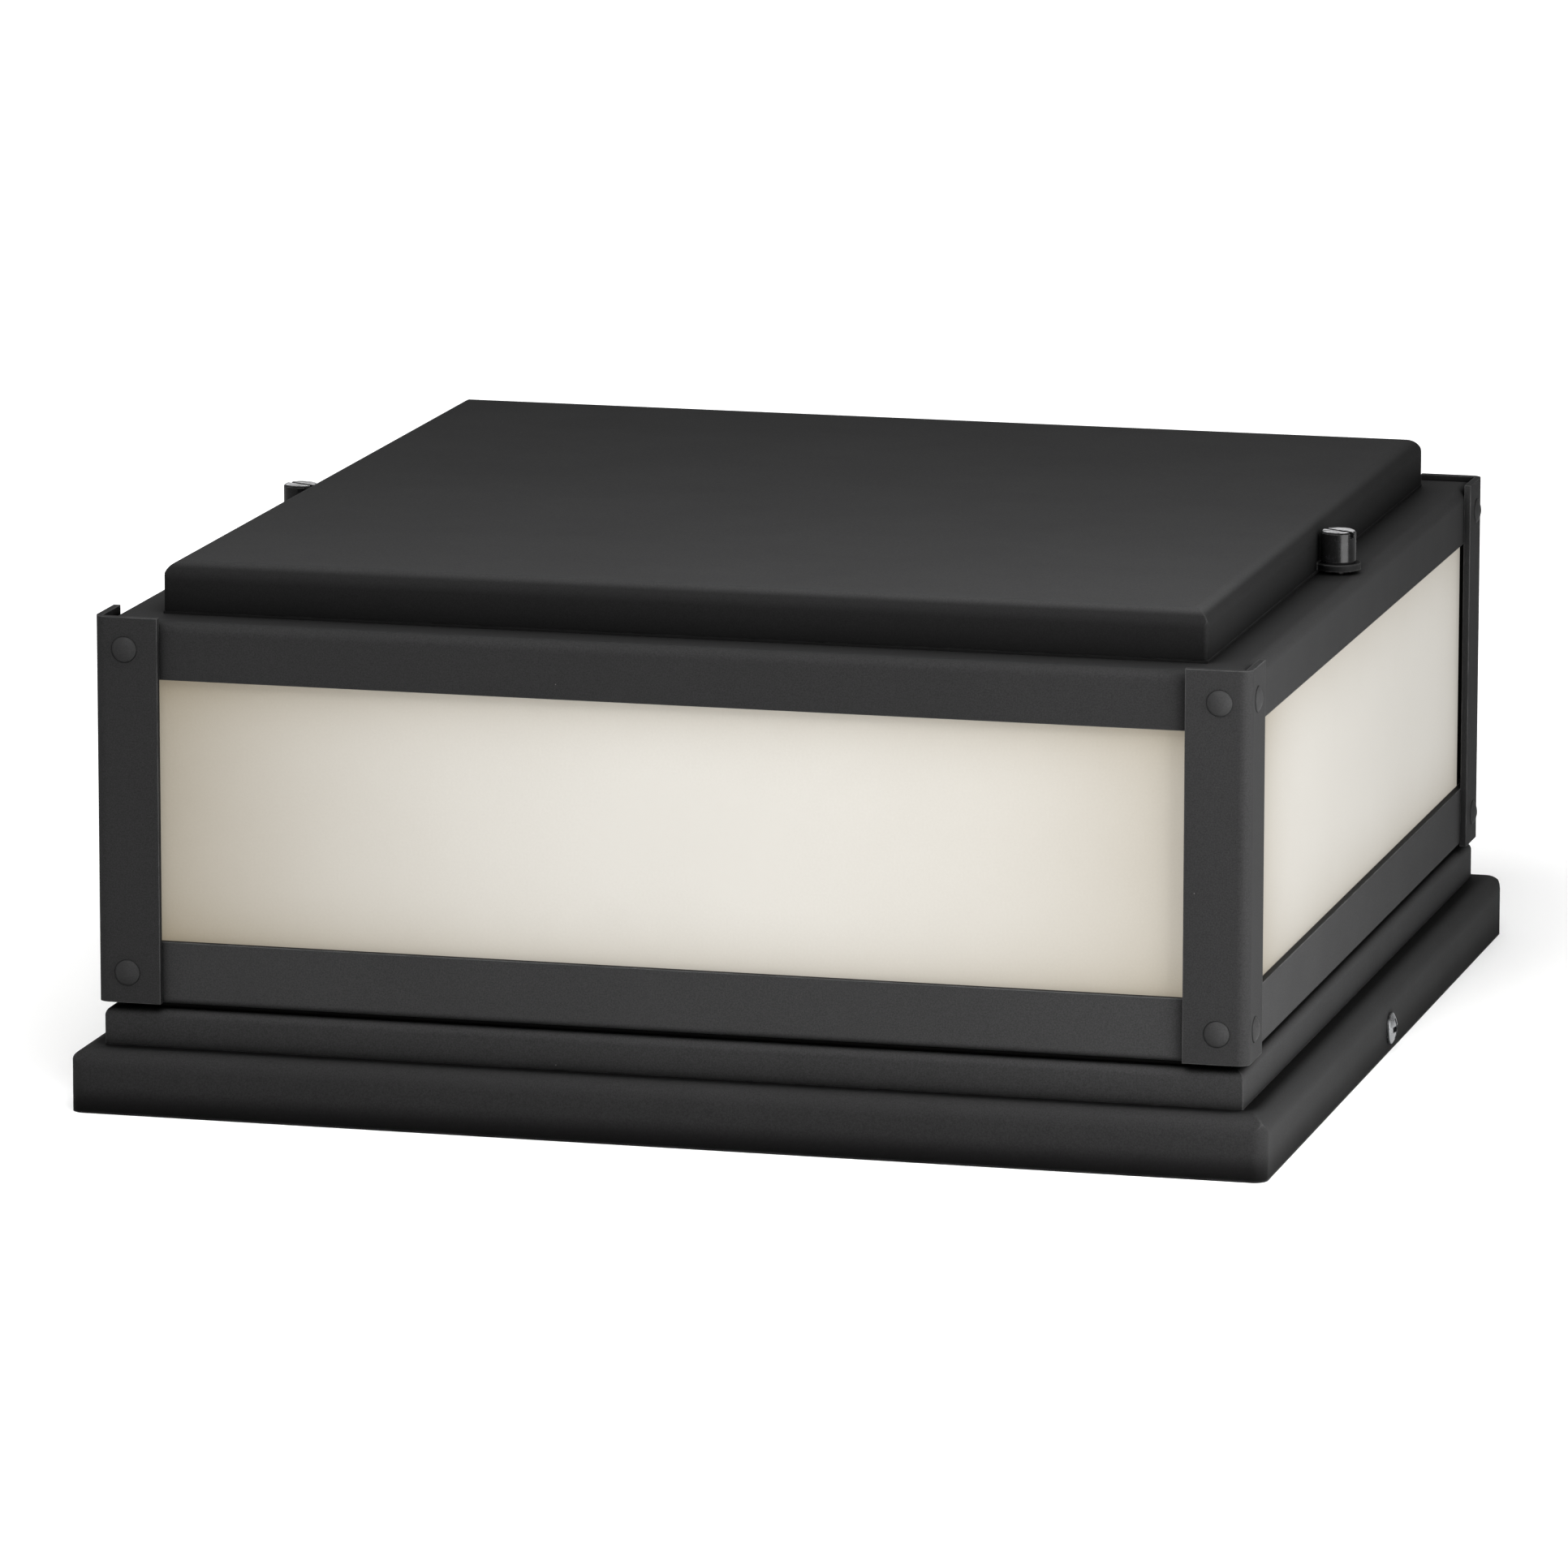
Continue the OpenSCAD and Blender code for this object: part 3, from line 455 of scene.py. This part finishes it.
def etched_glass(name, along, centre, spread, sharp, reflects, glows):
    """Etched pane with the lamp behind it painted on as a broad pale glow that dims and warms towards its
    edges.

    In halves of the window, the glow is full at centre along that axis and falls off over the two
    spreads, sideways and up; the two powers in sharp say how suddenly. reflects and glows are the
    parts of the pane's colour that answer to the lamps and that shine by themselves.
    """
    s = Shader(name)
    x, y, z = s.axes()
    u = s.math("DIVIDE", x if along == "x" else y, WINDOW_HALF)
    middle = (WINDOW_LOW + WINDOW_HIGH) / 2
    v = s.math("DIVIDE", s.math("SUBTRACT", z, middle), (WINDOW_HIGH - WINDOW_LOW) / 2)
    side = s.math("ABSOLUTE", s.math("SUBTRACT", u, centre))
    side = s.math("POWER", s.math("DIVIDE", side, spread[0]), sharp[0])
    rise = s.math("POWER", s.math("DIVIDE", s.math("ABSOLUTE", v), spread[1]), sharp[1])
    glow = s.math("EXPONENT", s.math("MULTIPLY", s.math("ADD", side, rise), -1.0))
    cloud = s.vary(CLOUD_SIZE, *GLASS_LEVELS, detail=3.0)
    etch = s.vary(ETCH_SIZE, *GLASS_LEVELS)
    level = s.math("MULTIPLY", s.math("MULTIPLY", glow, cloud), etch)
    colour = s.mix(s.ramp(level, GLASS_DIM, 1.0), GLASS_WARM, GLASS_BRIGHT)
    normal = s.bump(s.noise(ETCH_RELIEF_SIZE), ETCH_RELIEF)
    return s.surface(Base_Color=s.mix(reflects, grey(0), colour), Emission_Color=colour,
                     Emission_Strength=glows, Roughness=GLASS_ROUGHNESS, Normal=normal,
                     Specular_IOR_Level=GLASS_SPECULAR)


def lamp_glass(name):
    """Frosted warm globe of the lamp, glowing."""
    s = Shader(name)
    colour = s.scaled(GLOBE_COLOUR, s.vary(GLOBE_CLOUD_SIZE, *GLOBE_LEVELS, detail=3.0))
    normal = s.bump(s.noise(ETCH_SIZE), GLOBE_RELIEF)
    return s.surface(Base_Color=colour, Emission_Color=colour, Emission_Strength=GLOBE_GLOW,
                     Roughness=GLOBE_ROUGHNESS, Normal=normal)


# ---- which piece has which material ----

def dress(material, *names):
    """Put the material in every slot of the pieces with those names."""
    for name in names:
        for slot in nodes[name].material_slots:
            slot.material = material


def dress_all():
    """Give every piece of the light its material."""
    angles = [name for name in nodes if name.startswith("angle_")]
    retainers = [name for name in nodes if name.startswith("retainer_")]
    # One black powder coat, with a different tone on each part as painted light and shade: darkest on the
    # lid, lightest on the lower rail and the step
    dress(powder_coat("powder_lid", tone=0.0095, soften=0.5, edge_shading=4.0, top_sheen=True), "lid")
    dress(powder_coat("powder_frame", tone=0.0200, edge_shading=3.2), "upper_frame")
    dress(powder_coat("powder_rail", tone=0.030, edge_shading=3.2), "lower_frame")
    dress(powder_coat("powder_angle", tone=0.0205, edge_shading=4.0), *angles)
    # Rivets: their edge factor below 1 paints shade round their rims
    dress(powder_coat("powder_rivet", tone=0.026, roughness=0.5, grain=0.6, soften=0.25, edge_shading=0.1),
          "corner_rivets")
    dress(powder_coat("powder_step", tone=0.027), "step_tray")
    # The base takes deeper painted shade on its strip under the step
    dress(powder_coat("powder_base", tone=0.0185, soften=0.8, gap_shade=STRIP_SHADE), "base_plate")
    dress(gloss_black("thumb_lacquer"), "thumb_screw_left", "thumb_screw_right")
    # Panes: a painted glow in colour and emission stands for the lamp's light through the glass, its
    # middle set off centre along each pane
    dress(etched_glass("etched_front", "x", centre=0.070, spread=(1.300, 1.348), sharp=(2.79, 4.06),
                       reflects=0.35, glows=0.52), "pane_front", "pane_back")
    dress(etched_glass("etched_side", "y", centre=0.160, spread=(1.180, 1.524), sharp=(8.0, 3.35),
                       reflects=0.17, glows=0.59), "pane_left", "pane_right")
    dress(metal("zinc_plate", (0.62, 0.63, 0.64), roughness=0.38), "frame_screws", "frame_nuts",
          "nipple_nuts", "lamp_bracket", "block_screw")
    dress(metal("strap_steel", (0.60, 0.61, 0.62), roughness=0.40, brushed=(0.1, 1, 1)),
          "mounting_strap")
    dress(metal("bright_zinc", (0.42, 0.43, 0.44), roughness=0.30), "side_screws")
    dress(metal("bare_aluminium", (0.66, 0.67, 0.68), roughness=0.42, brushed=(1, 1, 0.1)),
          "frame_spacers", *retainers)
    dress(metal("brass", (0.72, 0.53, 0.24), roughness=0.30), "nipple", "thread_inserts",
          "socket_contacts", "terminal_screws")
    dress(plastic("white_moulding", (0.74, 0.73, 0.68), roughness=0.48), "lamp_socket",
          "terminal_block", "wire_bushing")
    dress(plastic("seal_rubber", (0.006, 0.006, 0.006), roughness=0.7, shine=0.05), "frame_seat",
          "lid_gasket", "pane_pads", "thumb_washer_left", "thumb_washer_right")
    dress(plastic("lead_cover", (0.03, 0.03, 0.03), roughness=0.45), "lamp_leads")
    dress(plastic("lamp_plastic", (0.78, 0.77, 0.72), roughness=0.3), "lamp_body")
    dress(lamp_glass("lamp_globe_glass"), "lamp_globe")


# ---- floor, backdrop and light ----

FLOOR_SIZE = 6.0
FLOOR_DROP = 0.05 * MM
FLOOR_ALBEDO = 0.80
FLOOR_MOTTLE_SIZE = 0.4
FLOOR_MOTTLE_DEPTH = 0.01
FLOOR_ROUGHNESS = 0.9
# How white the camera sees the floor glow under the object and away from it, and the distances from
# the middle between which that rises
FLOOR_GLOW_NEAR = 0.25
FLOOR_GLOW_FAR = 1.0
GLOW_STARTS = 0.12
GLOW_FULL = 0.40
# Strength of the world as light on the object, and as the background that is looked at
WORLD_LIGHT = 0.30
WORLD_SEEN = 1.0
WHITE = (1, 1, 1, 1)
# Soft square lights: degrees round the object from its front and above the floor, metres and watts
SOFTBOXES = {
    "key": {"turn": 0, "rise": 52, "distance": 0.45, "size": 0.3, "power": 1.95},
    "side": {"turn": 62, "rise": 12, "distance": 0.30, "size": 0.2, "power": 0.95},
    "back": {"turn": 180, "rise": 60, "distance": 1.2, "size": 0.8, "power": 2.0},
    "left": {"turn": -80, "rise": 30, "distance": 1.0, "size": 0.6, "power": 2.0},
}


def background_seen(tree):
    """1 for rays that look at the background, from the camera or through glass, and 0 for others."""
    path = tree.nodes.new("ShaderNodeLightPath")
    seen = tree.nodes.new("ShaderNodeMath")
    seen.operation = "ADD"
    seen.use_clamp = True
    tree.links.new(path.outputs["Is Camera Ray"], seen.inputs[0])
    tree.links.new(path.outputs["Is Transmission Ray"], seen.inputs[1])
    return seen.outputs[0]


def add_floor():
    """Pale floor just under the object, which shows the object's shadow."""
    mesh = bpy.data.meshes.new("floor")
    half = FLOOR_SIZE / 2
    corners = [(-half, -half, 0), (half, -half, 0), (half, half, 0), (-half, half, 0)]
    mesh.from_pydata(corners, [], [(0, 1, 2, 3)])
    floor = bpy.data.objects.new("floor", mesh)
    bpy.context.scene.collection.objects.link(floor)
    floor.location.z = cad_box[0][2] - FLOOR_DROP
    s = Shader("floor_paper")
    tone = s.vary(FLOOR_MOTTLE_SIZE, 1 - FLOOR_MOTTLE_DEPTH, 1 + FLOOR_MOTTLE_DEPTH)
    base = s.scaled((FLOOR_ALBEDO, FLOOR_ALBEDO, FLOOR_ALBEDO), tone)
    x, y, _ = s.axes()
    away = s.math("SQRT", s.math("ADD", s.math("MULTIPLY", x, x), s.math("MULTIPLY", y, y)))
    glow = s.ramp(away, GLOW_STARTS, GLOW_FULL, FLOOR_GLOW_NEAR, FLOOR_GLOW_FAR, smooth=True)
    glow = s.math("MULTIPLY", background_seen(s.tree), glow)
    mesh.materials.append(s.surface(Base_Color=base, Roughness=FLOOR_ROUGHNESS, Specular_IOR_Level=0.0,
                                    Emission_Color=WHITE, Emission_Strength=glow))


def add_world():
    """White where it is looked at, and a dim even light on the object."""
    world = bpy.data.worlds.new("studio")
    bpy.context.scene.world = world
    world.use_nodes = True
    tree = world.node_tree
    tree.nodes.clear()
    strength = tree.nodes.new("ShaderNodeMapRange")
    strength.inputs["To Min"].default_value = WORLD_LIGHT
    strength.inputs["To Max"].default_value = WORLD_SEEN
    tree.links.new(background_seen(tree), strength.inputs["Value"])
    background = tree.nodes.new("ShaderNodeBackground")
    background.inputs["Color"].default_value = WHITE
    tree.links.new(strength.outputs["Result"], background.inputs["Strength"])
    output = tree.nodes.new("ShaderNodeOutputWorld")
    tree.links.new(background.outputs[0], output.inputs[0])


def add_softbox(name, turn, rise, distance, size, power):
    """Square soft light that faces the object from a turn round it and a rise above the floor."""
    data = bpy.data.lights.new(name, "AREA")
    data.shape = "SQUARE"
    data.size = size
    data.energy = power
    light = bpy.data.objects.new(name, data)
    bpy.context.scene.collection.objects.link(light)
    aim = toward(math.radians(turn), math.radians(rise))
    light.location = aim * distance + Vector((0, 0, CAMERA_TARGET_Z))
    light.rotation_euler = aim.to_track_quat("Z", "Y").to_euler()


add_camera()
dress_all()
add_floor()
add_world()
for lamp_name, lamp in SOFTBOXES.items():
    add_softbox(lamp_name, **lamp)
bpy.context.scene.view_settings.view_transform = "Standard"
